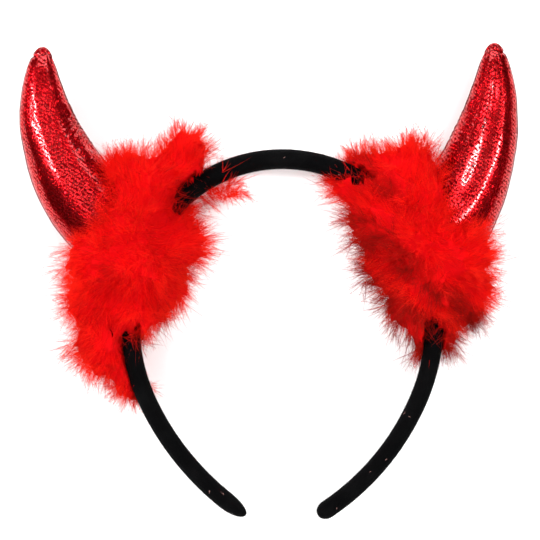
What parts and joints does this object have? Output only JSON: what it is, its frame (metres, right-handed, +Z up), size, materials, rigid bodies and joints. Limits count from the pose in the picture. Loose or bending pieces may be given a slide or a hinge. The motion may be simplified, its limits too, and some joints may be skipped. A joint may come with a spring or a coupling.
{
  "type": "devil horns headband",
  "caption": "Hoop headband covered in black velvet, with stuffed red foil-cloth horns whose feet are wrapped in red marabou feathers.",
  "frame": {"origin": "middle of the bounding box in X and Y, on the surface that the headband lies on", "axes": "+Z up, out of the side that faces the camera; +Y from the open end towards the crown and the horn tips; +X to the right as seen from above, across the head"},
  "size_m": [0.2052, 0.1952, 0.0498],
  "materials": {
    "velvet": "short matt black pile",
    "lame": "shiny metallic red foil cloth",
    "marabou": "soft loose feather down"
  },
  "bodies": {
    "root": {"hoop": "velvet", "horn_left": "lame", "horn_right": "lame", "marabou_left": "marabou", "marabou_right": "marabou"}
  },
  "joints": []
}
